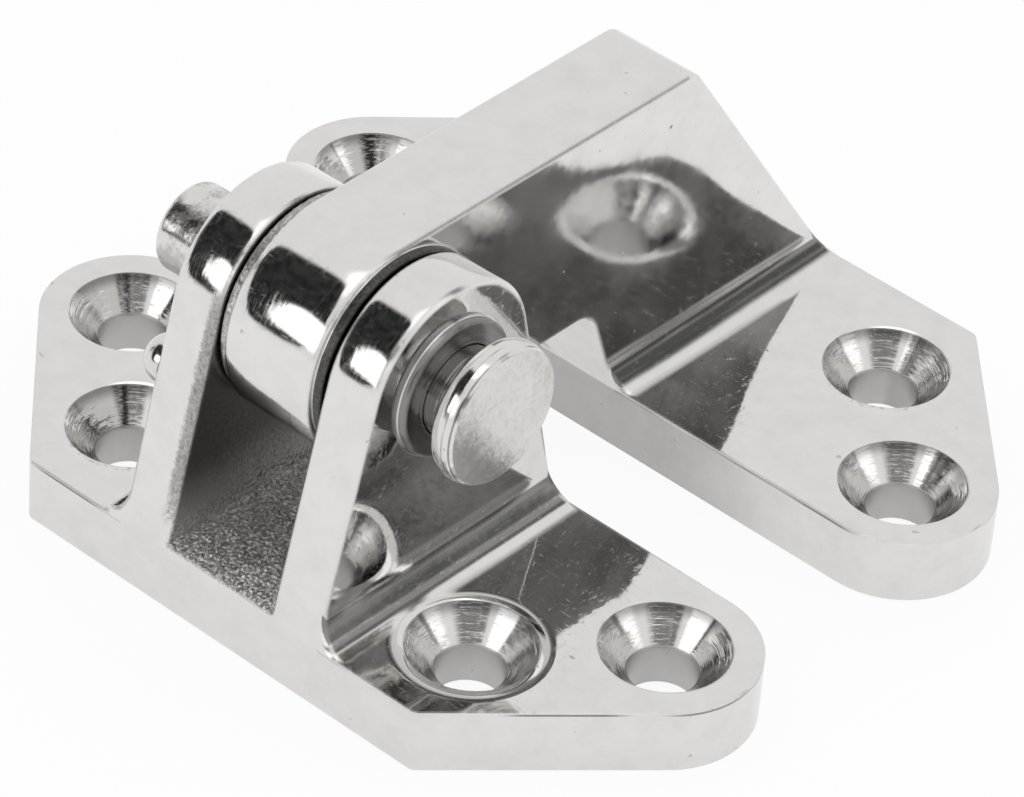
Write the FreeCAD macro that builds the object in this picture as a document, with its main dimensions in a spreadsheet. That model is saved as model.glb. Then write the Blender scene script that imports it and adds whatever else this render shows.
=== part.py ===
import FreeCAD, Part
import math
import os
import Sketcher

# Marine deck hinge with a removable pin, closed, both base plates flat on the deck.
# Millimetres. +X along the pin towards its head, +Y from the fork to the arm, +Z up.
# The origin is on the deck, half way between the two plates' outer edges.

doc = FreeCAD.newDocument("deck_hinge")
sheet = doc.addObject("Spreadsheet::Sheet", "sizes")

# Sizes of the hinge: name, value and what it is.
SIZES = [
    ("plate_thickness", "6.2", "thickness of both base plates"),
    ("plate_depth", "28.3", "plate size along Y"),
    ("plate_gap", "14.1", "free space between the two plates"),
    ("short_edge", "43.2", "length of a plate's short outer edge"),
    ("inner_spacing", "38.4", "distance between the two inner screw holes"),
    ("inner_inset", "9.26", "inner screw holes from the short edge"),
    ("outer_spacing", "60", "distance between the two outer screw holes"),
    ("tip_radius", "8", "round end of a plate about its outer screw hole"),
    ("corner_radius", "0.9", "rounding of the upright corners of the short edge"),
    ("under_edge", "0.4", "rounded lower rim of a plate"),
    ("screw_diameter", "5.8", "screw hole through the plate"),
    ("sink_diameter", "11", "rim of the countersink"),
    ("sink_angle", "90", "full angle of the countersink"),
    ("spot_diameter", "12.4", "spot face where an inner hole meets the root fillet"),
    ("pin_height", "25.1", "pin axis above the deck"),
    ("pin_diameter", "8", "shank of the pin"),
    ("pin_clearance", "0.1", "radial play of the pin in its bores"),
    ("slot_width", "11.6", "slot of the fork"),
    ("slot_rise", "0.45", "slot floor above the plate"),
    ("ear_thickness", "5.1", "one ear of the fork"),
    ("ear_radius", "9.25", "round top of an ear"),
    ("ear_root", "3", "root fillet between ear and plate"),
    ("ear_edge", "0.5", "rounded rim of an ear's outer face"),
    ("slot_edge", "0.4", "rounded rim of an ear's slot side"),
    ("boss_diameter", "12.2", "turned boss round the bore, outside each ear"),
    ("boss_height", "0.8", "boss above the ear's flank"),
    ("boss_edge", "0.25", "rounded rim of the boss"),
    ("arm_width", "9.3", "thickness of the arm"),
    ("knuckle_radius", "9.6", "round end of the arm about the pin"),
    ("cheek_step", "0.4", "cheeks inside the knuckle's round end"),
    ("cheek_play", "0.3", "play between a cheek and the ear beside it"),
    ("arm_root", "2.6", "root fillet between arm and plate"),
    ("arm_corner", "2", "rounded corner where the arm's top turns down"),
    ("arm_edge", "0.35", "rounded long edges of the arm"),
    ("cheek_edge", "0.3", "rounded rim of a cheek"),
    ("slope_angle", "35.8", "back of the arm, measured from upright"),
    ("lean_angle", "20", "front of the arm's leg, measured from upright"),
    ("throat_radius", "2.5", "hollow corner between the leg and the arm's underside"),
    ("head_gap", "2.6", "bare shank between the boss and the pin's head"),
    ("head_length", "2.3", "length of the pin's head"),
    ("head_face", "11.8", "flat faces of the pin's head"),
    ("head_bulge", "0.4", "how far the head's side swells past its faces"),
    ("stub_length", "6.4", "bare end of the pin past the far boss"),
    ("stub_round", "0.6", "rounded rim of the pin's far end"),
    ("stud_diameter", "4.2", "domed stud on the ear away from the pin's head"),
    ("stud_rise", "2.7", "height of the stud's dome"),
    ("stud_shank", "2.4", "shank of the stud inside the ear"),
    ("stud_length", "2.6", "length of the stud's shank"),
    ("stud_play", "0.02", "radial play round the stud's shank"),
    ("stud_bottom", "0.2", "free space under the stud's shank"),
    ("stud_back", "8.5", "stud in front of the pin axis"),
    ("stud_drop", "5.6", "stud below the pin axis"),
    ("spare", "3", "how far cutting outlines run past the metal"),
]

# Sizes that follow from the ones above.
DERIVED = [
    ("half_depth", "=plate_depth / 2"),
    ("short_half", "=short_edge / 2"),
    ("outer_half", "=outer_spacing / 2"),
    ("outer_y", "=plate_depth / 2 - tip_radius"),
    ("inner_half", "=inner_spacing / 2"),
    ("inner_y", "=plate_depth / 2 - inner_inset"),
    ("plate_shift", "=(plate_gap + plate_depth) / 2"),
    ("pin_reach", "=plate_gap + plate_depth"),
    ("slot_half", "=slot_width / 2"),
    ("slot_floor", "=plate_thickness + slot_rise"),
    ("ear_face", "=slot_width / 2 + ear_thickness"),
    ("ear_foot", "=ear_face + ear_root"),
    ("ear_top", "=pin_height + ear_radius + spare"),
    ("boss_face", "=ear_face + boss_height"),
    ("boss_width", "=2 * boss_face"),
    ("bore_diameter", "=pin_diameter + 2 * pin_clearance"),
    ("ear_pad", "=plate_depth + 2 * spare"),
    ("ear_rim_y", "=half_depth + 2 * spare"),
    ("arm_half", "=arm_width / 2"),
    ("arm_foot", "=arm_half + arm_root"),
    ("arm_top", "=pin_height + knuckle_radius + spare"),
    ("arm_pad", "=2 * (pin_reach + knuckle_radius + spare)"),
    ("arm_rim_y", "=pin_reach + knuckle_radius + 2 * spare"),
    ("cheek_diameter", "=2 * (knuckle_radius - cheek_step)"),
    ("cheek_half", "=slot_half - cheek_play"),
    ("cheek_width", "=2 * cheek_half"),
    ("slope_rise", "=90 - slope_angle"),
    ("lean_rise", "=90 - lean_angle"),
    ("head_back", "=ear_face + boss_height + head_gap"),
    ("head_front", "=head_back + head_length"),
    ("head_middle", "=head_back + head_length / 2"),
    ("head_half", "=head_face / 2"),
    ("head_swell", "=((head_length / 2) ^ 2 + head_bulge ^ 2) / (2 * head_bulge)"),
    ("shank_half", "=pin_diameter / 2"),
    ("stub_end", "=ear_face + boss_height + stub_length"),
    ("stud_half", "=stud_diameter / 2"),
    ("stud_core", "=stud_shank / 2"),
    ("stud_hole", "=stud_shank + 2 * stud_play"),
    ("stud_pocket", "=stud_length + stud_bottom"),
    ("stud_height", "=pin_height - stud_drop"),
]

row = 1
for name, value, meaning in SIZES:
    sheet.set("A%d" % row, meaning)
    sheet.set("B%d" % row, value)
    sheet.setAlias("B%d" % row, name)
    row = row + 1
for name, formula in DERIVED:
    sheet.set("B%d" % row, formula)
    sheet.setAlias("B%d" % row, name)
    row = row + 1
doc.recompute()


# Two places closer than this are taken as one.
TOUCH = 0.001

# How a sketch numbers the points of an edge, and its own two axes.
START, END, CENTRE = 1, 2, 3
ACROSS, UPRIGHT = -1, -2


def size(name):
    """Value of one size, in millimetres or degrees."""
    return float(sheet.get(name))


def point(across, up):
    return FreeCAD.Vector(across, up, 0)


def line(start, end):
    return Part.LineSegment(point(*start), point(*end))


def arc(centre, radius, first, last):
    """Arc from one angle to the other, anticlockwise, in degrees."""
    circle = Part.Circle(point(*centre), FreeCAD.Vector(0, 0, 1), radius)
    return Part.ArcOfCircle(circle, math.radians(first), math.radians(last))


def touch_angle(outside, centre, radius, side):
    """Angle at which a line from an outside point touches a circle, on its left (1) or right (-1)."""
    across = centre[0] - outside[0]
    up = centre[1] - outside[1]
    heading = math.atan2(up, across) + side * math.asin(radius / math.hypot(across, up))
    return math.degrees(heading) + side * 90


def new_body(label):
    body = doc.addObject("PartDesign::Body", label)
    body.Label = label
    return body


def new_sketch(body, name, role):
    """Sketch on one of the body's own origin planes."""
    sketch = body.newObject("Sketcher::SketchObject", name)
    plane = [item for item in body.Origin.OriginFeatures if item.Role == role][0]
    sketch.AttachmentSupport = (plane, [""])
    sketch.MapMode = "FlatFace"
    return sketch


def lift(sketch, expression):
    """Move a sketch off its plane, along the plane's normal."""
    sketch.setExpression("AttachmentOffset.Base.z", expression)


def draw_loop(sketch, steps):
    """Closed loop. A step is an edge, the way the loop runs along it, and its join to the next edge."""
    numbers = [sketch.addGeometry(edge, False) for edge, way, join in steps]
    arrive = [END if way == "back" else START for edge, way, join in steps]
    leave = [START if way == "back" else END for edge, way, join in steps]
    for place, (edge, way, join) in enumerate(steps):
        following = place + 1 if place + 1 < len(steps) else 0
        kind = "Tangent" if join == "smooth" else "Coincident"
        ends = (numbers[place], leave[place], numbers[following], arrive[following])
        sketch.addConstraint(Sketcher.Constraint(kind, *ends))
    return numbers


def fix(sketch, edge, end, across=None, up=None):
    """Tie a point to sizes, measured from the sketch's origin. A minus sign turns a size round."""
    for kind, axis, name in (("DistanceX", UPRIGHT, across), ("DistanceY", ACROSS, up)):
        if name is None:
            continue
        if name == "0":
            sketch.addConstraint(Sketcher.Constraint("PointOnObject", edge, end, axis))
            continue
        word = name.lstrip("-")
        origin = (ACROSS, START)
        ends = (edge, end, *origin) if name.startswith("-") else (*origin, edge, end)
        number = sketch.addConstraint(Sketcher.Constraint(kind, *ends, size(word)))
        sketch.setExpression("Constraints[%d]" % number, "sizes." + word)


def fix_value(sketch, kind, edge, name):
    """Tie an edge's radius, diameter or angle to a size."""
    value = math.radians(size(name)) if kind == "Angle" else size(name)
    number = sketch.addConstraint(Sketcher.Constraint(kind, edge, value))
    sketch.setExpression("Constraints[%d]" % number, "sizes." + name)


def draw_circle(sketch, across, up, diameter):
    """Circle with its centre and diameter tied to sizes."""
    side = -1 if across.startswith("-") else 1
    level = -1 if up.startswith("-") else 1
    x_start = 0 if across == "0" else side * size(across.lstrip("-"))
    y_start = 0 if up == "0" else level * size(up.lstrip("-"))
    circle = Part.Circle(point(x_start, y_start), FreeCAD.Vector(0, 0, 1), size(diameter) / 2)
    number = sketch.addGeometry(circle, False)
    fix(sketch, number, CENTRE, across, up)
    fix_value(sketch, "Diameter", number, diameter)
    return number


def draw_frame(sketch, half_width, top):
    """Rectangle round everything that is cut away outside a side view."""
    wide = size(half_width)
    high = size(top)
    low = -size("spare")
    steps = [
        (line((-wide, low), (wide, low)), "along", "corner"),
        (line((wide, low), (wide, high)), "along", "corner"),
        (line((wide, high), (-wide, high)), "along", "corner"),
        (line((-wide, high), (-wide, low)), "along", "corner"),
    ]
    numbers = draw_loop(sketch, steps)
    fix(sketch, numbers[0], START, "-" + half_width, "-spare")
    fix(sketch, numbers[0], END, half_width, "-spare")
    fix(sketch, numbers[2], START, half_width, top)
    fix(sketch, numbers[2], END, "-" + half_width, top)


def pad(body, name, sketch, length, both_ways):
    feature = body.newObject("PartDesign::Pad", name)
    feature.Profile = sketch
    feature.SideType = "Symmetric" if both_ways else "One side"
    feature.setExpression("Length", "sizes." + length)
    doc.recompute()
    return feature


def cut_through(body, name, sketch):
    """Cut right through, both ways from the sketch."""
    feature = body.newObject("PartDesign::Pocket", name)
    feature.Profile = sketch
    feature.Type = "ThroughAll"
    feature.SideType = "Symmetric"
    doc.recompute()
    return feature


def cut_up(body, name, sketch, depth):
    """Cut to a depth on the side that the sketch's normal points to."""
    feature = body.newObject("PartDesign::Pocket", name)
    feature.Profile = sketch
    feature.Reversed = True
    feature.setExpression("Length", "sizes." + depth)
    doc.recompute()
    return feature


def turn_about_x(body, name, sketch):
    """Turn a half view once round the body's X axis."""
    feature = body.newObject("PartDesign::Revolution", name)
    feature.Profile = sketch
    feature.ReferenceAxis = (sketch, ["H_Axis"])
    feature.Angle = 360
    doc.recompute()
    return feature


def front_view(body, half_width, foot, root, top):
    """Upright web seen from the front, with a concave root fillet at each side of its foot."""
    sketch = new_sketch(body, body.Label + "_front_view", "XZ_Plane")
    wide = size(half_width)
    toe = size(foot)
    level = size("plate_thickness")
    bend = size(root)
    high = size(top)
    steps = [
        (line((-toe, 0), (toe, 0)), "along", "corner"),
        (line((toe, 0), (toe, level)), "along", "corner"),
        (arc((toe, level + bend), bend, 180, 270), "back", "smooth"),
        (line((wide, level + bend), (wide, high)), "along", "corner"),
        (line((wide, high), (-wide, high)), "along", "corner"),
        (line((-wide, high), (-wide, level + bend)), "along", "smooth"),
        (arc((-toe, level + bend), bend, 270, 360), "back", "corner"),
        (line((-toe, level), (-toe, 0)), "along", "corner"),
    ]
    edges = draw_loop(sketch, steps)
    fix(sketch, edges[0], START, "-" + foot, "0")
    fix(sketch, edges[0], END, foot, "0")
    fix(sketch, edges[1], END, foot, "plate_thickness")
    fix(sketch, edges[7], START, "-" + foot, "plate_thickness")
    fix(sketch, edges[4], START, half_width, top)
    fix(sketch, edges[4], END, "-" + half_width, top)
    sketch.addConstraint(Sketcher.Constraint("Vertical", edges[3]))
    sketch.addConstraint(Sketcher.Constraint("Vertical", edges[5]))
    fix_value(sketch, "Radius", edges[2], root)
    fix_value(sketch, "Radius", edges[6], root)
    return sketch


def plate(body):
    """Base plate: short edge at -Y, long edge at +Y, round tips about the outer screw holes."""
    sketch = new_sketch(body, body.Label + "_outline", "XY_Plane")
    deep = size("half_depth")
    short = size("short_half")
    tip_x = size("outer_half")
    tip_y = size("outer_y")
    bend = size("tip_radius")
    turn = touch_angle((short, -deep), (tip_x, tip_y), bend, -1)
    right = (tip_x + bend * math.cos(math.radians(turn)), tip_y + bend * math.sin(math.radians(turn)))
    left = (-right[0], right[1])
    steps = [
        (line((-short, -deep), (short, -deep)), "along", "corner"),
        (line((short, -deep), right), "along", "smooth"),
        (arc((tip_x, tip_y), bend, turn, 90), "along", "smooth"),
        (line((tip_x, deep), (-tip_x, deep)), "along", "smooth"),
        (arc((-tip_x, tip_y), bend, 90, 180 - turn), "along", "smooth"),
        (line(left, (-short, -deep)), "along", "corner"),
    ]
    edges = draw_loop(sketch, steps)
    fix(sketch, edges[0], START, "-short_half", "-half_depth")
    fix(sketch, edges[0], END, "short_half", "-half_depth")
    fix(sketch, edges[2], CENTRE, "outer_half", "outer_y")
    fix(sketch, edges[4], CENTRE, "-outer_half", "outer_y")
    fix_value(sketch, "Radius", edges[2], "tip_radius")
    fix_value(sketch, "Radius", edges[4], "tip_radius")
    return pad(body, body.Label + "_plate", sketch, "plate_thickness", False)


def screw_holes(body, root):
    """Four countersunk screw holes, the inner two with a spot face that trims the root fillet."""
    spots = new_sketch(body, body.Label + "_spots", "XY_Plane")
    lift(spots, "sizes.plate_thickness")
    draw_circle(spots, "inner_half", "-inner_y", "spot_diameter")
    draw_circle(spots, "-inner_half", "-inner_y", "spot_diameter")
    cut_up(body, body.Label + "_spot_faces", spots, root)
    marks = new_sketch(body, body.Label + "_hole_marks", "XY_Plane")
    lift(marks, "sizes.plate_thickness")
    draw_circle(marks, "inner_half", "-inner_y", "screw_diameter")
    draw_circle(marks, "-inner_half", "-inner_y", "screw_diameter")
    draw_circle(marks, "outer_half", "outer_y", "screw_diameter")
    draw_circle(marks, "-outer_half", "outer_y", "screw_diameter")
    doc.recompute()
    holes = body.newObject("PartDesign::Hole", body.Label + "_screw_holes")
    holes.Profile = marks
    holes.ThreadType = "None"
    holes.DepthType = "ThroughAll"
    holes.HoleCutType = "Countersink"
    holes.HoleCutCustomValues = True
    holes.setExpression("Diameter", "sizes.screw_diameter")
    holes.setExpression("HoleCutDiameter", "sizes.sink_diameter")
    holes.setExpression("HoleCutCountersinkAngle", "sizes.sink_angle")
    doc.recompute()
    return holes


def bore(body, across):
    """Bore for the hinge pin, right through along X."""
    sketch = new_sketch(body, body.Label + "_bore_mark", "YZ_Plane")
    draw_circle(sketch, across, "pin_height", "bore_diameter")
    return cut_through(body, body.Label + "_bore", sketch)


def round_edges(body, name, wanted, radius):
    """Round the edges of the body that pass a test on their ends and middle."""
    base = body.Tip
    names = []
    for number, edge in enumerate(base.Shape.Edges, 1):
        ends = [vertex.Point for vertex in edge.Vertexes]
        middle = edge.valueAt((edge.FirstParameter + edge.LastParameter) / 2)
        if wanted(ends, middle):
            names.append("Edge%d" % number)
    feature = body.newObject("PartDesign::Fillet", name)
    feature.Base = (base, names)
    feature.setExpression("Radius", "sizes." + radius)
    doc.recompute()
    return feature


def same(first, second):
    return abs(first - second) < TOUCH


def on_side(points, name):
    """True if all the points lie at one distance from the middle plane."""
    return all(same(abs(place.x), size(name)) for place in points)


def short_corner(ends, middle):
    """Upright edges at the ends of a plate's short edge."""
    upright = len(ends) == 2 and same(ends[0].x, ends[1].x) and same(ends[0].y, ends[1].y)
    return upright and on_side(ends, "short_half") and same(ends[0].y, -size("half_depth"))


def lower_rim(ends, middle):
    """Outer edge of a plate's underside."""
    return len(ends) == 2 and all(same(place.z, 0) for place in ends)


def ear_outer_rim(ends, middle):
    """Sloping sides and round top of an ear's outer face."""
    level = size("plate_thickness") + size("ear_root")
    return len(ends) == 2 and on_side(ends + [middle], "ear_face") and middle.z > level + TOUCH


def ear_slot_rim(ends, middle):
    """Sloping sides and round top of an ear's face towards the slot."""
    level = size("slot_floor")
    return len(ends) == 2 and on_side(ends + [middle], "slot_half") and middle.z > level + TOUCH


def off_bore(place, across):
    """True away from the rim of the bore."""
    distance = math.hypot(place.y - across, place.z - size("pin_height"))
    return distance > size("bore_diameter") / 2 + TOUCH


def boss_rim(ends, middle):
    return len(ends) == 1 and on_side(ends, "boss_face") and off_bore(ends[0], 0)


def cheek_rim(ends, middle):
    return len(ends) == 1 and on_side(ends, "cheek_half") and off_bore(ends[0], size("pin_reach"))


def arm_rim(ends, middle):
    """Long edges of the arm, its leg and its knuckle."""
    level = size("plate_thickness") + size("arm_root")
    return len(ends) == 2 and on_side(ends + [middle], "arm_half") and middle.z > level + TOUCH


# Fork bracket: one casting, a base plate with two ears. Its own origin is under the pin.
fork = new_body("fork_bracket")
fork.setExpression("Placement.Base.y", "-sizes.plate_shift")
pad(fork, "ear_block", front_view(fork, "ear_face", "ear_foot", "ear_root", "ear_top"), "ear_pad", True)

# The ears taper from the whole depth of the plate to a round top about the pin.
ear_side = new_sketch(fork, "ear_side_view", "YZ_Plane")
draw_frame(ear_side, "ear_rim_y", "ear_top")
deep = size("half_depth")
level = size("plate_thickness")
axis_z = size("pin_height")
crown = size("ear_radius")
taper = 180 - touch_angle((-deep, level), (0, axis_z), crown, 1)
touch = (crown * math.cos(math.radians(taper)), axis_z + crown * math.sin(math.radians(taper)))
ear_steps = [
    (line((-deep, 0), (deep, 0)), "along", "corner"),
    (line((deep, 0), (deep, level)), "along", "corner"),
    (line((deep, level), touch), "along", "smooth"),
    (arc((0, axis_z), crown, taper, 180 - taper), "along", "smooth"),
    (line((-touch[0], touch[1]), (-deep, level)), "along", "corner"),
    (line((-deep, level), (-deep, 0)), "along", "corner"),
]
ear_edges = draw_loop(ear_side, ear_steps)
fix(ear_side, ear_edges[0], START, "-half_depth", "0")
fix(ear_side, ear_edges[0], END, "half_depth", "0")
fix(ear_side, ear_edges[1], END, "half_depth", "plate_thickness")
fix(ear_side, ear_edges[5], START, "-half_depth", "plate_thickness")
fix(ear_side, ear_edges[3], CENTRE, "0", "pin_height")
fix_value(ear_side, "Radius", ear_edges[3], "ear_radius")
cut_through(fork, "ear_taper", ear_side)

# Turned boss on the outside of each ear, then the base plate.
boss_mark = new_sketch(fork, "boss_mark", "YZ_Plane")
draw_circle(boss_mark, "0", "pin_height", "boss_diameter")
pad(fork, "ear_bosses", boss_mark, "boss_width", True)
plate(fork)
round_edges(fork, "fork_corners", short_corner, "corner_radius")

# Slot between the ears, its floor a little above the plate.
slot_view = new_sketch(fork, "slot_view", "XZ_Plane")
half = size("slot_half")
floor = size("slot_floor")
high = size("ear_top")
slot_steps = [
    (line((-half, floor), (half, floor)), "along", "corner"),
    (line((half, floor), (half, high)), "along", "corner"),
    (line((half, high), (-half, high)), "along", "corner"),
    (line((-half, high), (-half, floor)), "along", "corner"),
]
slot_edges = draw_loop(slot_view, slot_steps)
fix(slot_view, slot_edges[0], START, "-slot_half", "slot_floor")
fix(slot_view, slot_edges[0], END, "slot_half", "slot_floor")
fix(slot_view, slot_edges[2], START, "slot_half", "ear_top")
fix(slot_view, slot_edges[2], END, "-slot_half", "ear_top")
cut_through(fork, "slot", slot_view)
bore(fork, "0")
screw_holes(fork, "ear_root")

# Blind hole for the domed stud, in the ear away from the pin's head.
stud_mark = new_sketch(fork, "stud_mark", "YZ_Plane")
lift(stud_mark, "-sizes.ear_face")
draw_circle(stud_mark, "-stud_back", "stud_height", "stud_hole")
cut_up(fork, "stud_hole", stud_mark, "stud_pocket")
round_edges(fork, "ear_outer_edges", ear_outer_rim, "ear_edge")
round_edges(fork, "ear_slot_edges", ear_slot_rim, "slot_edge")
round_edges(fork, "boss_edges", boss_rim, "boss_edge")
round_edges(fork, "fork_lower_edges", lower_rim, "under_edge")

# Arm bracket: one casting, a base plate with a bar that ends in a knuckle.
# It is drawn like the fork, short edge at -Y, and turned half round into place.
arm = new_body("arm_bracket")
arm.Placement.Rotation = FreeCAD.Rotation(FreeCAD.Vector(0, 0, 1), 180)
arm.setExpression("Placement.Base.y", "sizes.plate_shift")
pad(arm, "arm_block", front_view(arm, "arm_half", "arm_foot", "arm_root", "arm_top"), "arm_pad", True)

arm_side = new_sketch(arm, "arm_side_view", "YZ_Plane")
draw_frame(arm_side, "arm_rim_y", "arm_top")
axis_y = size("pin_reach")
round_end = size("knuckle_radius")
under = axis_z - round_end
over = axis_z + round_end
lean = math.radians(size("lean_angle"))
throat = size("throat_radius")
slope = math.radians(size("slope_angle"))
bend = size("arm_corner")
throat_z = under - throat
throat_y = deep + (throat_z - level) * math.tan(lean) + throat / math.cos(lean)
throat_foot = (throat_y - throat * math.cos(lean), throat_z + throat * math.sin(lean))
bend_z = over - bend
bend_y = -deep + (bend_z - level) * math.tan(slope) + bend / math.cos(slope)
bend_foot = (bend_y - bend * math.cos(slope), bend_z + bend * math.sin(slope))
arm_steps = [
    (line((-deep, 0), (deep, 0)), "along", "corner"),
    (line((deep, 0), (deep, level)), "along", "corner"),
    (line((deep, level), throat_foot), "along", "smooth"),
    (arc((throat_y, throat_z), throat, 90, 180 - size("lean_angle")), "back", "smooth"),
    (line((throat_y, under), (axis_y, under)), "along", "smooth"),
    (arc((axis_y, axis_z), round_end, -90, 90), "along", "smooth"),
    (line((axis_y, over), (bend_y, over)), "along", "smooth"),
    (arc((bend_y, bend_z), bend, 90, 180 - size("slope_angle")), "along", "smooth"),
    (line((-deep, level), bend_foot), "back", "corner"),
    (line((-deep, level), (-deep, 0)), "along", "corner"),
]
arm_edges = draw_loop(arm_side, arm_steps)
fix(arm_side, arm_edges[0], START, "-half_depth", "0")
fix(arm_side, arm_edges[0], END, "half_depth", "0")
fix(arm_side, arm_edges[1], END, "half_depth", "plate_thickness")
fix(arm_side, arm_edges[9], START, "-half_depth", "plate_thickness")
fix(arm_side, arm_edges[5], CENTRE, "pin_reach", "pin_height")
fix_value(arm_side, "Radius", arm_edges[5], "knuckle_radius")
fix_value(arm_side, "Radius", arm_edges[3], "throat_radius")
fix_value(arm_side, "Radius", arm_edges[7], "arm_corner")
fix_value(arm_side, "Angle", arm_edges[2], "lean_rise")
fix_value(arm_side, "Angle", arm_edges[8], "slope_rise")
arm_side.addConstraint(Sketcher.Constraint("Horizontal", arm_edges[4]))
arm_side.addConstraint(Sketcher.Constraint("Horizontal", arm_edges[6]))
cut_through(arm, "arm_profile", arm_side)

# Raised cheeks of the knuckle, which fill the fork's slot.
cheek_mark = new_sketch(arm, "cheek_mark", "YZ_Plane")
cheek = draw_circle(cheek_mark, "pin_reach", "pin_height", "cheek_diameter")
pad(arm, "knuckle_cheeks", cheek_mark, "cheek_width", True)
plate(arm)
round_edges(arm, "arm_corners", short_corner, "corner_radius")
bore(arm, "pin_reach")
screw_holes(arm, "arm_root")
round_edges(arm, "arm_edges", arm_rim, "arm_edge")
round_edges(arm, "cheek_edges", cheek_rim, "cheek_edge")
round_edges(arm, "arm_lower_edges", lower_rim, "under_edge")

# Hinge pin: one turned piece, drawn about its own axis.
pin = new_body("hinge_pin")
pin.setExpression("Placement.Base.y", "-sizes.plate_shift")
pin.setExpression("Placement.Base.z", "sizes.pin_height")
pin_half = new_sketch(pin, "pin_half_view", "XZ_Plane")
far = size("stub_end")
back = size("head_back")
front = size("head_front")
shank = size("shank_half")
rim = size("head_half")
swell = size("head_swell")
rounding = size("stub_round")
side_z = rim + size("head_bulge") - swell
side_turn = math.degrees(math.asin((rim - side_z) / swell))
pin_steps = [
    (line((-far, 0), (front, 0)), "along", "corner"),
    (line((front, 0), (front, rim)), "along", "corner"),
    (arc((size("head_middle"), side_z), swell, side_turn, 180 - side_turn), "along", "corner"),
    (line((back, rim), (back, shank)), "along", "corner"),
    (line((back, shank), (rounding - far, shank)), "along", "smooth"),
    (arc((rounding - far, shank - rounding), rounding, 90, 180), "along", "smooth"),
    (line((-far, shank - rounding), (-far, 0)), "along", "corner"),
]
pin_edges = draw_loop(pin_half, pin_steps)
fix(pin_half, pin_edges[0], START, "-stub_end", "0")
fix(pin_half, pin_edges[0], END, "head_front", "0")
fix(pin_half, pin_edges[1], END, "head_front", "head_half")
fix(pin_half, pin_edges[3], START, "head_back", "head_half")
fix(pin_half, pin_edges[3], END, "head_back", "shank_half")
fix_value(pin_half, "Radius", pin_edges[2], "head_swell")
fix_value(pin_half, "Radius", pin_edges[5], "stub_round")
pin_half.addConstraint(Sketcher.Constraint("Horizontal", pin_edges[4]))
pin_half.addConstraint(Sketcher.Constraint("Vertical", pin_edges[6]))
turn_about_x(pin, "turned_pin", pin_half)

# Domed stud on the ear's flank, with its shank in the blind hole.
stud = new_body("ear_stud")
stud.setExpression("Placement.Base.x", "-sizes.ear_face")
stud.setExpression("Placement.Base.y", "-sizes.plate_shift - sizes.stud_back")
stud.setExpression("Placement.Base.z", "sizes.stud_height")
stud_half = new_sketch(stud, "stud_half_view", "XZ_Plane")
rise = size("stud_rise")
rim = size("stud_half")
core = size("stud_core")
length = size("stud_length")
dome = (rim ** 2 + rise ** 2) / (2 * rise)
dome_turn = 180 - math.degrees(math.atan2(rim, dome - rise))
stud_steps = [
    (line((-rise, 0), (length, 0)), "along", "corner"),
    (line((length, 0), (length, core)), "along", "corner"),
    (line((length, core), (0, core)), "along", "corner"),
    (line((0, core), (0, rim)), "along", "corner"),
    (arc((dome - rise, 0), dome, dome_turn, 180), "along", "corner"),
]
stud_edges = draw_loop(stud_half, stud_steps)
fix(stud_half, stud_edges[0], START, "-stud_rise", "0")
fix(stud_half, stud_edges[0], END, "stud_length", "0")
fix(stud_half, stud_edges[1], END, "stud_length", "stud_core")
fix(stud_half, stud_edges[3], START, "0", "stud_core")
fix(stud_half, stud_edges[3], END, "0", "stud_half")
stud_half.addConstraint(Sketcher.Constraint("PointOnObject", stud_edges[4], CENTRE, ACROSS))
turn_about_x(stud, "turned_stud", stud_half)

doc.recompute()
BODIES = [fork, arm, pin, stud]
for item in doc.Objects:
    if "Invalid" in item.State or "Error" in item.State:
        raise RuntimeError("%s did not rebuild: %s" % (item.Name, item.State))
for body in BODIES:
    shape = body.Shape
    if shape.isNull() or not shape.isValid() or len(shape.Solids) != 1:
        raise RuntimeError("%s is not one sound solid" % body.Label)

os.makedirs("parts", exist_ok=True)
for body in BODIES:
    body.Shape.exportStep("parts/%s.step" % body.Label)
    box = body.Shape.BoundBox
    print(body.Label, "volume %.1f" % body.Shape.Volume,
          "x %.2f %.2f" % (box.XMin, box.XMax), "y %.2f %.2f" % (box.YMin, box.YMax),
          "z %.2f %.2f" % (box.ZMin, box.ZMax))
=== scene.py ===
import math

import bpy
from mathutils import Matrix, Vector

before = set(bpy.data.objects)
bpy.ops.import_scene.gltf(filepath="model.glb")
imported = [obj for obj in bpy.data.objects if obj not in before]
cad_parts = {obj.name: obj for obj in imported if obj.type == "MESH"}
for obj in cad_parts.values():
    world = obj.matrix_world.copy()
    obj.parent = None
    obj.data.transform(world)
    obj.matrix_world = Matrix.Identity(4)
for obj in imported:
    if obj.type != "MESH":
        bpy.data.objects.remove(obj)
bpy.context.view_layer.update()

scene = bpy.context.scene
scene.view_settings.view_transform = "Standard"

# Places on the hinge that carry their own finish, in millimetres.
PER_METRE = 1000.0
PLATE_TOP = 6.2
INNER_SINK = (19.2, 26.09)
OUTER_SINK = (30.0, 15.05)
SINK_RADIUS = 5.5
SCREW_RADIUS = 2.9
PIN_Y, PIN_Z = -21.2, 25.1
KNUCKLE_HALF = 4.65
KNUCKLE_RADIUS = 9.6
EAR_INSIDE, EAR_MIDDLE, EAR_OUTSIDE = 5.8, 8.35, 10.9
EAR_HALF = 2.55
BOSS_RADIUS = 6.1
# From here outward the plates' edges are free of the ears and of the arm's leg.
FREE_OF_EARS = 10.7
FREE_OF_LEG = 4.9

# Directions in the hinge's own axes, and colours.
ALONG_PIN = (1.0, 0.0, 0.0)
BACK_LEFT = (-0.672, 0.741, 0.0)
CASTING_STEEL = (0.765, 0.755, 0.742)
TURNED_STEEL = (0.72, 0.71, 0.69)
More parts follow.
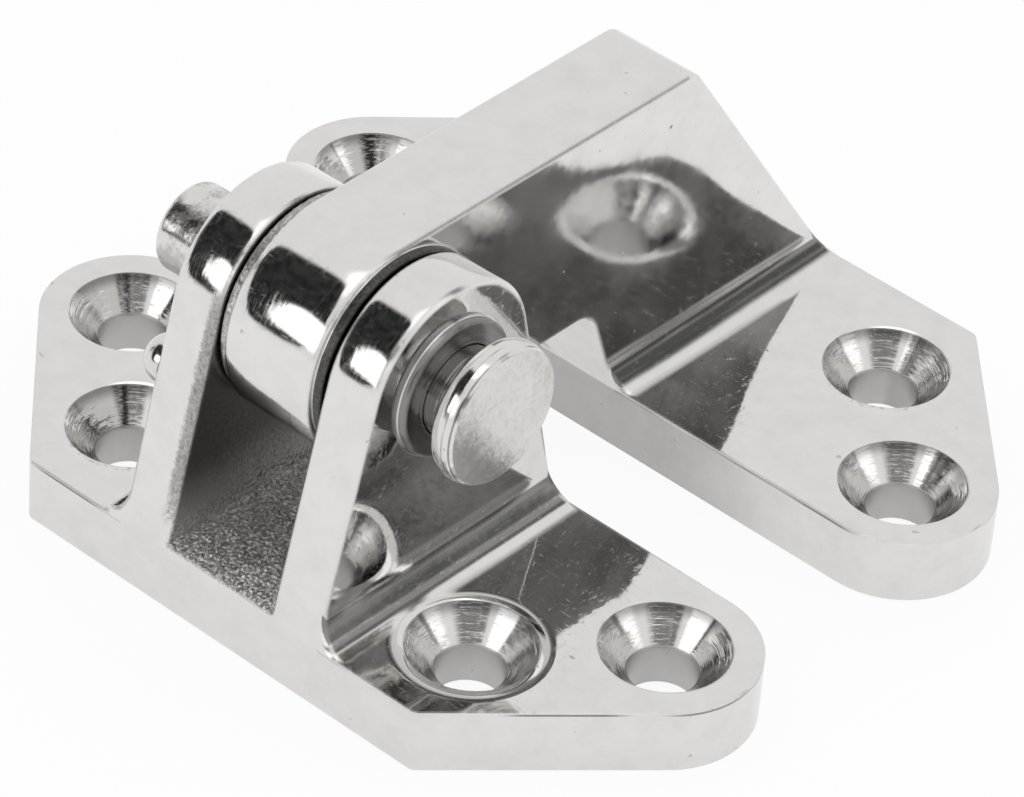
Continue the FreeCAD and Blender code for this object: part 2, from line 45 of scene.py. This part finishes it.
# How far the shading rounds the rims, in metres, and how rough the polish is.
CASTING = {"rounding": 0.00035, "roughness": 0.028}
TURNED = {"rounding": 0.00015, "roughness": 0.10}
# Scratches are noise that is stretched in three ways.
SCRATCHES = ((7.0, 1.1, 0.8), (0.9, 6.0, 1.3), (1.2, 0.8, 7.0))
# Lines scored round the pin: where along it, and how dark.
SCORES = ((16.3, 0.40), (15.7, 0.60))


class Graph:
    """Short ways to write a node tree: each call returns the new node's output."""

    def __init__(self, tree):
        self.tree = tree
        tree.nodes.clear()

    def node(self, kind, **settings):
        made = self.tree.nodes.new(kind)
        for name, value in settings.items():
            setattr(made, name, value)
        return made

    def feed(self, socket, value):
        if isinstance(value, bpy.types.NodeSocket):
            self.tree.links.new(value, socket)
        else:
            socket.default_value = value

    def math(self, operation, *values):
        made = self.node("ShaderNodeMath", operation=operation)
        for socket, value in zip(made.inputs, values):
            self.feed(socket, value)
        return made.outputs[0]

    def vector(self, operation, *values):
        made = self.node("ShaderNodeVectorMath", operation=operation)
        for socket, value in zip(made.inputs, values):
            self.feed(socket, value)
        return made.outputs["Value" if operation == "DOT_PRODUCT" else "Vector"]

    def scaled(self, vector, factor):
        made = self.node("ShaderNodeVectorMath", operation="SCALE")
        self.feed(made.inputs[0], vector)
        self.feed(made.inputs["Scale"], factor)
        return made.outputs["Vector"]

    def times(self, product, *factors):
        for factor in factors:
            product = self.math("MULTIPLY", product, factor)
        return product

    def plus(self, first, second):
        return self.math("ADD", first, second)

    def minus(self, first, second):
        return self.math("SUBTRACT", first, second)

    def size(self, value):
        return self.math("ABSOLUTE", value)

    def length(self, a, b):
        return self.math("SQRT", self.plus(self.times(a, a), self.times(b, b)))

    def join(self, x, y, z):
        made = self.node("ShaderNodeCombineXYZ")
        for socket, value in zip(made.inputs, (x, y, z)):
            self.feed(socket, value)
        return made.outputs[0]

    def split(self, vector):
        made = self.node("ShaderNodeSeparateXYZ")
        self.feed(made.inputs[0], vector)
        return made.outputs[0], made.outputs[1], made.outputs[2]

    def turn(self, normal, start, end):
        """Normal from the space start to the space end, OBJECT or WORLD."""
        made = self.node("ShaderNodeVectorTransform", vector_type="NORMAL",
                         convert_from=start, convert_to=end)
        self.feed(made.inputs[0], normal)
        return made.outputs[0]

    def step(self, value, start, end):
        """0 at start, 1 at end, smooth between; end may be the smaller one."""
        made = self.node("ShaderNodeMapRange", interpolation_type="SMOOTHSTEP")
        self.feed(made.inputs["Value"], value)
        made.inputs["From Min"].default_value = min(start, end)
        made.inputs["From Max"].default_value = max(start, end)
        made.inputs["To Min"].default_value = 0.0 if start < end else 1.0
        made.inputs["To Max"].default_value = 1.0 if start < end else 0.0
        return made.outputs["Result"]

    def band(self, value, rise, fall):
        """1 between the two steps rise and fall, each given from its 0 to its 1."""
        return self.times(self.step(value, *rise), self.step(value, *fall))

    def lerp(self, factor, low, high):
        """low where factor is 0, high where it is 1."""
        if any(isinstance(value, bpy.types.NodeSocket) for value in (low, high)):
            made = self.node("ShaderNodeMix", data_type="FLOAT")
            for socket, value in zip((0, 2, 3), (factor, low, high)):
                self.feed(made.inputs[socket], value)
            return made.outputs[0]
        made = self.node("ShaderNodeMapRange")
        self.feed(made.inputs["Value"], factor)
        made.inputs["To Min"].default_value = low
        made.inputs["To Max"].default_value = high
        return made.outputs["Result"]

    def noise(self, vector, scale, detail, rough, output="Fac"):
        """Noise from 0 to 1; vector is a socket, or a tuple of x, y and z."""
        if isinstance(vector, tuple):
            vector = self.join(*vector)
        made = self.node("ShaderNodeTexNoise")
        self.feed(made.inputs["Vector"], vector)
        made.inputs["Scale"].default_value = scale
        made.inputs["Detail"].default_value = detail
        made.inputs["Roughness"].default_value = rough
        return made.outputs[output]

    def ripple(self, vector, scale, detail, rough):
        """Noise about 0, as a number."""
        return self.minus(self.noise(vector, scale, detail, rough), 0.5)

    def bumps(self, vector, scale, detail, rough):
        """Noise about 0, as a vector."""
        noise = self.noise(vector, scale, detail, rough, output="Color")
        return self.vector("SUBTRACT", noise, (0.5, 0.5, 0.5))


# Studio round the object: pale walls, with dark flags and bright softboxes that only the
# metal shows. A row is: middle, where its long side points, half width, half length, all
# in degrees, then how soft its edge is and its radiance. A direction is an azimuth, 0
# behind the object and 90 to its right, and an elevation.
CARDS = (
    ((160, 80), (160, 0), 18, 14, 0.08, 1.55),
    ((130, 28), (130, 90), 23, 8, 0.07, 0.22),
    ((62, 14), (62, 90), 18, 8, 0.04, 1.45),
    ((-143, 33), (-104, 60), 25, 34, 0.018, 0.03),
    ((-163, 19), (-163, 90), 17, 13, 0.010, 1.85),
    ((43, 40), (43, 90), 10, 12, 0.08, 0.16),
    ((49, 12), (49, 90), 5, 19, 0.03, 0.30),
    ((-107, 16), (-107, 90), 5, 9, 0.05, 0.12),
    ((158, 14), (158, 90), 6, 16, 0.06, 0.15),
    ((120, 12), (120, 90), 12, 6, 0.06, 1.45),
)
WALL_RADIANCE = 0.90
ROOM_RADIANCE = 1.0
# How square the cards' corners are: 2 is an ellipse.
CORNER = 5.0
# Cards darker than this are cloth, lit unevenly.
CLOTH_BELOW = 0.2
CLOTH_DARK, CLOTH_PALE = 0.5, 1.9
# A card is cut off where a ray runs almost across its axis.
CUT_OFF = (0.05, 0.1)

# The floor is a little under the plates and reaches past the picture, in metres.
FLOOR_HALF = 1.5
FLOOR_DROP = 0.00002
FLOOR_GREY = (0.90, 0.90, 0.90, 1.0)
FLOOR_GLOW = 0.91
FLOOR_GLOW_IN_METAL = 0.66


def aim(azimuth, elevation):
    """Unit vector of a direction."""
    a, e = math.radians(azimuth), math.radians(elevation)
    return Vector((math.cos(e) * math.sin(a), math.cos(e) * math.cos(a), math.sin(e)))


def card(g, ray, middle, top, half_wide, half_high, soft):
    """1 where the ray meets a flat studio card, 0 elsewhere."""
    middle, top = aim(*middle), aim(*top)
    upward = (top - middle * top.dot(middle)).normalized()
    across = upward.cross(middle)
    depth = g.vector("DOT_PRODUCT", ray, tuple(middle))
    safe = g.math("MAXIMUM", depth, CUT_OFF[0])
    wide, high = math.tan(math.radians(half_wide)), math.tan(math.radians(half_high))
    powers = []
    for axis, half in ((across, wide), (upward, high)):
        offset = g.size(g.math("DIVIDE", g.vector("DOT_PRODUCT", ray, tuple(axis)), safe))
        powers.append(g.math("POWER", g.math("DIVIDE", offset, half), CORNER))
    outside = g.math("POWER", g.plus(*powers), 1.0 / CORNER)
    blur = soft / min(wide, high)
    return g.times(g.step(outside, 1.0 + blur, 1.0 - blur), g.step(depth, *CUT_OFF))


world = bpy.data.worlds.new("studio")
scene.world = world
world.use_nodes = True
world.cycles.sampling_method = "NONE"
g = Graph(world.node_tree)
ray = g.node("ShaderNodeTexCoord").outputs["Generated"]
cloth = g.step(g.noise(ray, scale=16.0, detail=2.0, rough=0.6), 0.35, 0.75)
light = WALL_RADIANCE
for middle, top, half_wide, half_high, soft, radiance in CARDS:
    if radiance < CLOTH_BELOW:
        radiance = g.lerp(cloth, radiance * CLOTH_DARK, radiance * CLOTH_PALE)
    light = g.lerp(card(g, ray, middle, top, half_wide, half_high, soft), light, radiance)
path = g.node("ShaderNodeLightPath")
background = g.node("ShaderNodeBackground")
g.feed(background.inputs["Color"], (1.0, 1.0, 1.0, 1.0))
g.feed(background.inputs["Strength"], g.lerp(path.outputs["Is Glossy Ray"], ROOM_RADIANCE, light))
g.feed(g.node("ShaderNodeOutputWorld").inputs[0], background.outputs[0])

# The pale floor glows enough to look white, and keeps a faint shadow.
floor_mesh = bpy.data.meshes.new("floor")
floor_mesh.from_pydata([(FLOOR_HALF * x, FLOOR_HALF * y, -FLOOR_DROP)
                        for x, y in ((-1, -1), (1, -1), (1, 1), (-1, 1))],
                       [], [(0, 1, 2, 3)])
floor = bpy.data.objects.new("floor", floor_mesh)
scene.collection.objects.link(floor)
paper = bpy.data.materials.new("paper")
paper.use_nodes = True
paper.cycles.emission_sampling = "NONE"
g = Graph(paper.node_tree)
path = g.node("ShaderNodeLightPath")
seen = g.math("MAXIMUM", path.outputs["Is Camera Ray"], path.outputs["Is Transmission Ray"])
in_metal = g.times(path.outputs["Is Glossy Ray"], FLOOR_GLOW_IN_METAL)
matte = g.node("ShaderNodeBsdfDiffuse")
matte.inputs["Color"].default_value = FLOOR_GREY
both = g.node("ShaderNodeMixShader")
g.feed(both.inputs[0], g.math("MAXIMUM", g.times(seen, FLOOR_GLOW), in_metal))
g.feed(both.inputs[1], matte.outputs[0])
g.feed(both.inputs[2], g.node("ShaderNodeEmission").outputs[0])
g.feed(g.node("ShaderNodeOutputMaterial").inputs[0], both.outputs[0])
floor_mesh.materials.append(paper)


class Metal:
    """A steel in the making. Its places and normals are the part's own, so that the
    finish stays with a part that moves. Each mark bends, dulls or darkens it."""

    def __init__(self, name, rounding, roughness):
        self.look = bpy.data.materials.new(name)
        self.look.use_nodes = True
        self.g = g = Graph(self.look.node_tree)
        coords = g.node("ShaderNodeTexCoord")
        self.place = g.scaled(coords.outputs["Object"], PER_METRE)
        self.x, self.y, self.z = g.split(self.place)
        self.ax = g.size(self.x)
        self.side = g.math("SIGN", self.x)
        rounded = g.node("ShaderNodeBevel", samples=2)
        rounded.inputs["Radius"].default_value = rounding
        self.normal = g.turn(rounded.outputs[0], "WORLD", "OBJECT")
        flat = g.node("ShaderNodeNewGeometry").outputs["Normal"]
        self.nx, self.ny, self.nz = g.split(g.turn(flat, "WORLD", "OBJECT"))
        self.py = g.minus(self.y, PIN_Y)
        self.pz = g.minus(self.z, PIN_Z)
        self.from_pin = g.length(self.py, self.pz)
        self.polish(roughness)

    def bend(self, way, by):
        self.tilt = self.g.vector("ADD", self.tilt, self.g.scaled(way, by))

    def dull(self, where, to):
        self.rough = self.g.lerp(where, self.rough, to)

    def darken(self, where, to, elsewhere=1.0):
        self.shade = self.g.times(self.shade, self.g.lerp(where, elsewhere, to))

    def polish(self, roughness):
        """Slightly wavy faces, blotches of haze, fine scratches and a few nicks."""
        g, place = self.g, self.place
        self.tilt = g.scaled(g.bumps(place, scale=0.055, detail=1.0, rough=0.5), 0.12)
        fine = g.bumps(place, scale=1.1, detail=2.0, rough=0.6)
        self.bend(fine, by=0.012)
        self.blotch = g.noise(place, scale=0.22, detail=2.0, rough=0.6)
        self.haze = g.step(self.blotch, 0.35, 0.75)
        self.rough = g.lerp(self.haze, roughness, roughness * 2.2)
        for stretch in SCRATCHES:
            stretched = g.vector("MULTIPLY", place, stretch)
            scratches = g.noise(stretched, scale=0.9, detail=2.0, rough=0.65)
            self.dull(g.step(scratches, 0.60, 0.74), to=0.22)
        stain = g.step(g.noise(place, scale=0.35, detail=3.0, rough=0.65), 0.3, 0.8)
        self.shade = g.lerp(stain, 1.0, 0.93)
        nick = g.step(g.noise(place, scale=0.9, detail=2.0, rough=0.5), 0.745, 0.765)
        self.bend(fine, by=g.times(nick, 1.5))
        self.darken(nick, to=0.7)

    def finish(self, colour):
        """The material, once all its marks are in."""
        g = self.g
        bent = g.vector("NORMALIZE", g.vector("ADD", self.normal, self.tilt))
        shader = g.node("ShaderNodeBsdfPrincipled")
        shader.inputs["Metallic"].default_value = 1.0
        g.feed(shader.inputs["Base Color"], g.scaled(colour, self.shade))
        g.feed(shader.inputs["Roughness"], self.rough)
        g.feed(shader.inputs["Normal"], g.turn(bent, "OBJECT", "WORLD"))
        g.feed(g.node("ShaderNodeOutputMaterial").inputs[0], shader.outputs[0])
        return self.look


def root_fillet_painted_reflection(m):
    """Painted reflection and shade: a dark band on the root fillets, picked out by height and
    slope.
    """
    g = m.g
    height = g.band(m.z, rise=(PLATE_TOP, 6.3), fall=(9.2, 9.0))
    slope = g.band(m.nz, rise=(0.2, 0.27), fall=(0.80, 0.72))
    sideways = g.step(g.size(m.nx), 0.5, 0.6)
    m.darken(g.times(height, slope, sideways), to=0.32)


def countersinks(m):
    """Turned rings, a dull bore with painted shade, painted shade on the lip's back left half,
    and a rolled rim on the inner ones.
    """
    g = m.g
    ay = g.size(m.y)
    x1, y1 = g.minus(m.ax, INNER_SINK[0]), g.minus(ay, INNER_SINK[1])
    x2, y2 = g.minus(m.ax, OUTER_SINK[0]), g.minus(ay, OUTER_SINK[1])
    from_inner, from_outer = g.length(x1, y1), g.length(x2, y2)
    nearer = g.math("LESS_THAN", from_inner, from_outer)
    m.reach = g.math("MINIMUM", from_inner, from_outer)
    outward_x = g.times(g.lerp(nearer, x2, x1), m.side)
    outward_y = g.times(g.lerp(nearer, y2, y1), g.math("SIGN", m.y))
    outward = g.vector("NORMALIZE", g.join(outward_x, outward_y, 0.0))

    within = g.step(m.reach, SINK_RADIUS + 0.05, SINK_RADIUS)
    above_deck = g.step(m.z, 0.05, 0.1)
    turned = g.times(within, above_deck)
    rings = g.ripple((m.reach, m.z, g.times(m.blotch, 1.2)), scale=4.2, detail=3.0, rough=0.85)
    # The back left half is shaded steeper, for the bright sectors of the photograph.
    far = g.step(g.vector("DOT_PRODUCT", outward, BACK_LEFT), 0.0, 0.5)
    steeper = g.minus(g.times(rings, 1.5), g.times(far, 0.35))
    m.bend(outward, by=g.times(steeper, turned))
    m.dull(turned, to=0.11)

    # The bore is rougher, and darkened as painted shade in the recess.
    bore_dull_and_painted_shade = g.times(turned, g.step(m.reach, SCREW_RADIUS + 0.2, SCREW_RADIUS + 0.1))
    m.dull(bore_dull_and_painted_shade, to=0.38)
    m.darken(bore_dull_and_painted_shade, to=0.74)
    # Painted shade on the back left half of each cone's upper wall.
    lip_painted_shade = g.times(turned, far, g.step(m.z, 5.25, 6.10))
    m.darken(lip_painted_shade, to=0.42)

    rolled = g.band(from_inner, rise=(SINK_RADIUS - 0.1, SINK_RADIUS), fall=(7.3, SINK_RADIUS))
    level = g.step(m.nz, 0.7, 0.9)
    m.bend(outward, by=g.times(rolled, rolled, level, -0.55))


def painted_edge_reflection(m, free_from):
    """Painted reflection: a thin dark line under the top edge of the plates' sides, broken here
    and there.
    """
    g = m.g
    height = g.band(m.z, rise=(5.82, 5.90), fall=(6.10, 6.04))
    steep = g.step(m.nz, 0.3, 0.1)
    off_sinks = g.step(m.reach, SINK_RADIUS + 0.5, SINK_RADIUS + 0.7)
    broken = g.step(g.noise(m.place, scale=0.12, detail=1.0, rough=0.5), 0.38, 0.60)
    free = g.step(m.ax, free_from, free_from + 0.6)
    m.darken(g.times(height, steep, off_sinks, broken, free), to=0.35)


def round_top(m, where, across):
    """A slight crown across a round top, and belt lines that run round the pin.
    The value across goes from -1 to 1 over the top's width."""
    g = m.g
    crown = g.plus(g.times(across, across, across, 0.24), g.times(across, 0.07))
    m.bend(ALONG_PIN, by=g.times(crown, where))
    stretched = g.vector("MULTIPLY", m.place, (9.0, 0.5, 0.5))
    brushed = g.ripple(stretched, scale=1.0, detail=2.0, rough=0.7)
    m.bend(ALONG_PIN, by=g.times(brushed, 0.06, where))
    stretched = g.vector("MULTIPLY", m.place, (20.0, 0.7, 0.7))
    hairs = g.step(g.noise(stretched, scale=1.0, detail=1.0, rough=0.6), 0.48, 0.78)
    m.dull(g.times(hairs, where), to=0.20)


def as_cast(m, where, tone_and_painted_shade, smooth=None):
    """Cast grain with dark specks; it is flatter and of one tone where smooth is 1."""
    # The tone given in scales the grain's depth and colour; the callers put painted light and
    # shade into it.
    g = m.g
    grain = g.bumps(m.place, scale=3.4, detail=3.0, rough=0.75)
    speck = g.lerp(g.step(g.split(grain)[0], -0.16, 0.16), 0.55, 1.0)
    depth = g.times(where, tone_and_painted_shade, 1.9)
    if smooth is not None:
        depth = g.times(depth, g.lerp(smooth, 1.0, 0.45))
        speck = g.lerp(smooth, speck, 0.78)
    m.bend(grain, by=depth)
    m.dull(where, to=g.lerp(g.step(m.nz, 0.5, 0.9), 0.30, 0.45))
    m.shade = g.lerp(where, m.shade, g.times(speck, tone_and_painted_shade))


def fork_look():
    """Crowned ears, a slot as cast with painted shade, a worn inner edge on the left ear, turned
    bosses with painted shade.
    """
    m = Metal("fork_steel", **CASTING)
    g = m.g
    root_fillet_painted_reflection(m)
    countersinks(m)
    painted_edge_reflection(m, FREE_OF_EARS)

    above_plate = g.step(m.z, PLATE_TOP + 0.1, PLATE_TOP + 1.0)
    on_ear = g.step(m.ax, EAR_INSIDE - 0.1, EAR_INSIDE)
    off_flank = g.step(g.size(m.nx), 0.9, 0.5)
    across = g.math("DIVIDE", g.minus(m.ax, EAR_MIDDLE), EAR_HALF)
    round_top(m, g.times(above_plate, on_ear, off_flank), g.times(across, m.side))

    slot = g.times(g.step(m.ax, EAR_INSIDE + 0.15, EAR_INSIDE + 0.05),
                   g.step(m.z, PLATE_TOP + 0.15, PLATE_TOP + 0.25))
    wall = g.times(g.step(g.size(m.nx), 0.85, 0.95), g.step(m.z, 7.5, 9.0))
    # Painted shade: the slot darkens higher up under the knuckle and is lighter on faces turned
    # up.
    tone_and_painted_shade = g.times(g.lerp(g.step(m.z, 8.0, 14.0), 1.0, 0.40),
                         g.lerp(g.step(m.nz, 0.5, 0.9), 1.0, 1.25))
    frayed = g.plus(m.x, g.noise(m.place, scale=2.6, detail=3.0, rough=0.75))
    worn = g.times(g.step(frayed, -6.65, -5.95), g.step(m.x, -EAR_INSIDE, -EAR_INSIDE - 0.1),
                   g.band(m.z, rise=(8.0, 9.0), fall=(31.0, 26.0)), g.step(m.ny, -0.2, -0.4))
    as_cast(m, g.math("MAXIMUM", slot, worn),
            g.math("MAXIMUM", tone_and_painted_shade, g.times(worn, 0.64)), smooth=wall)

    boss_turned_and_painted_shade = g.times(g.step(m.ax, EAR_OUTSIDE + 0.05, EAR_OUTSIDE + 0.1),
                   g.step(m.from_pin, BOSS_RADIUS + 0.5, BOSS_RADIUS + 0.3))
    rings = g.ripple((m.from_pin, g.times(m.x, 3.0), 0.0), scale=2.4, detail=3.0, rough=0.75)
    around = g.vector("NORMALIZE", g.join(0.0, m.py, m.pz))
    m.bend(around, by=g.times(rings, 0.5, boss_turned_and_painted_shade))
    m.dull(boss_turned_and_painted_shade, to=0.20)
    # The boss is darkened as painted shade under the pin head.
    m.darken(boss_turned_and_painted_shade, to=0.34)
    return m.finish(CASTING_STEEL)


def arm_look():
    """Crowned knuckle, cheeks as cast with painted light and shade, a ground edge toward the fork
    with painted shade, a hazier flank.
    """
    m = Metal("arm_steel", **CASTING)
    g = m.g
    root_fillet_painted_reflection(m)
    countersinks(m)
    painted_edge_reflection(m, FREE_OF_LEG)

    on_knuckle = g.step(m.ax, KNUCKLE_HALF + 0.1, KNUCKLE_HALF)
    forward = g.step(m.ny, 0.0, -0.35)
    round_top(m, g.times(on_knuckle, forward), g.math("DIVIDE", m.x, KNUCKLE_HALF))

    # The side facing the fork is ground duller, and darkened as painted shade in the gap between
    # the plates, fading toward the corner.
    ground_edge_and_painted_shade = g.times(g.step(m.ny, -0.8, -0.95), g.step(m.z, 6.1, 5.9),
                     g.step(m.y, 0.5, 1.5), g.step(m.x, 27.0, 10.0))
    m.dull(ground_edge_and_painted_shade, to=0.28)
    m.darken(ground_edge_and_painted_shade, to=0.66)
    flank = g.times(g.step(m.nx, 0.9, 0.97), g.step(m.z, 8.0, 12.0))
    m.dull(flank, to=g.lerp(m.haze, 0.06, 0.11))

    cheeks = g.times(g.step(m.ax, KNUCKLE_HALF + 0.05, KNUCKLE_HALF + 0.12),
                     g.step(m.from_pin, KNUCKLE_RADIUS + 0.15, KNUCKLE_RADIUS + 0.05))
    # The cheeks' tone is painted light and shade: pale on the lit left one, dark in the right
    # one's shaded gap.
    lit_left_shaded_right = g.step(m.x, -0.1, 0.1)
    as_cast(m, cheeks, g.lerp(lit_left_shaded_right, 0.75, 0.16))
    return m.finish(CASTING_STEEL)


def pin_look():
    """Lathe marks, two scored lines round the head, a face darker toward its lower rim, a pitted
    far end, painted shade on the neck.
    """
    m = Metal("pin_steel", **TURNED)
    g = m.g
    face = g.step(g.size(m.nx), 0.8, 0.95)
    far_end = g.step(m.x, -12.2, -12.8)

    lathe = g.ripple((g.times(m.x, 4.5), 0.0, 0.0), scale=1.0, detail=3.0, rough=0.8)
    lathe = g.times(lathe, g.lerp(far_end, 1.0, 0.15), 0.5)
    m.bend(ALONG_PIN, by=g.times(lathe, g.minus(1.0, face)))
    peened = g.bumps(m.place, scale=3.0, detail=3.0, rough=0.7)
    m.bend(peened, by=g.times(face, 0.16))
    dents = g.bumps(m.place, scale=0.9, detail=5.0, rough=0.7)
    m.bend(dents, by=0.14)
    m.dull(face, to=0.25)

    for at, depth in SCORES:
        score = g.step(g.size(g.minus(m.x, at)), 0.11, 0.04)
        m.darken(g.times(score, g.step(m.blotch, 0.35, 0.55)), to=depth)

    # The face darkens toward its lower rim, with a ragged edge.
    toward_rim = g.plus(g.times(m.py, -0.66), g.times(m.pz, -0.75))
    ragged = g.times(g.noise(m.place, scale=1.0, detail=4.0, rough=0.7), 4.0)
    lower_face_darkening = g.step(g.plus(toward_rim, ragged), 3.4, 6.0)
    m.darken(g.times(lower_face_darkening, face), to=0.86)
    mottle = g.step(g.noise(m.place, scale=1.5, detail=4.0, rough=0.7), 0.45, 0.7)
    m.darken(g.times(mottle, face), to=0.92, elsewhere=1.04)

    speckle = g.ripple(m.place, scale=3.0, detail=3.0, rough=0.7)
    patches = g.plus(g.noise(m.place, scale=0.28, detail=2.0, rough=0.5), g.times(speckle, 0.35))
    pitted = g.times(far_end, g.step(patches, 0.46, 0.60))
    pits = g.bumps(m.place, scale=3.6, detail=5.0, rough=0.7)
    m.bend(pits, by=g.times(pitted, 0.9))
    m.dull(far_end, to=0.16)
    m.dull(pitted, to=0.35)
    m.darken(pitted, to=0.7)

    # Painted shade on the shank between the boss and the head.
    neck_painted_shade = g.band(m.x, rise=(11.0, 11.7), fall=(14.4, 14.2))
    m.darken(neck_painted_shade, to=0.62)
    return m.finish(TURNED_STEEL)


def stud_look():
    """Plain turned steel."""
    m = Metal("stud_steel", **TURNED)
    root_fillet_painted_reflection(m)
    return m.finish(TURNED_STEEL)


LOOKS = {
    "fork_bracket": fork_look(),
    "arm_bracket": arm_look(),
    "hinge_pin": pin_look(),
    "ear_stud": stud_look(),
}
for piece, look in LOOKS.items():
    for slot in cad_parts[piece].material_slots:
        slot.material = look

# Camera at the photograph's angle, fitted to the photograph's edges.
CAMERA_RIGHT = Vector((0.73936477, 0.67036651, 0.06283687))
CAMERA_UP = Vector((-0.45238345, 0.42547743, 0.78378452))
CAMERA_BACK = Vector((0.49868722, -0.60792902, 0.61784574))
CAMERA_PLACE = Vector((0.236306, -0.288223, 0.298790))
LENS, SENSOR = 198.633, 36.0
CLIP_START = 0.01

camera_data = bpy.data.cameras.new("camera")
camera_data.lens = LENS
camera_data.sensor_width = SENSOR
camera_data.clip_start = CLIP_START
camera = bpy.data.objects.new("camera", camera_data)
scene.collection.objects.link(camera)
stand = Matrix((CAMERA_RIGHT, CAMERA_UP, CAMERA_BACK)).transposed().to_4x4()
stand.translation = CAMERA_PLACE
camera.matrix_world = stand
scene.camera = camera
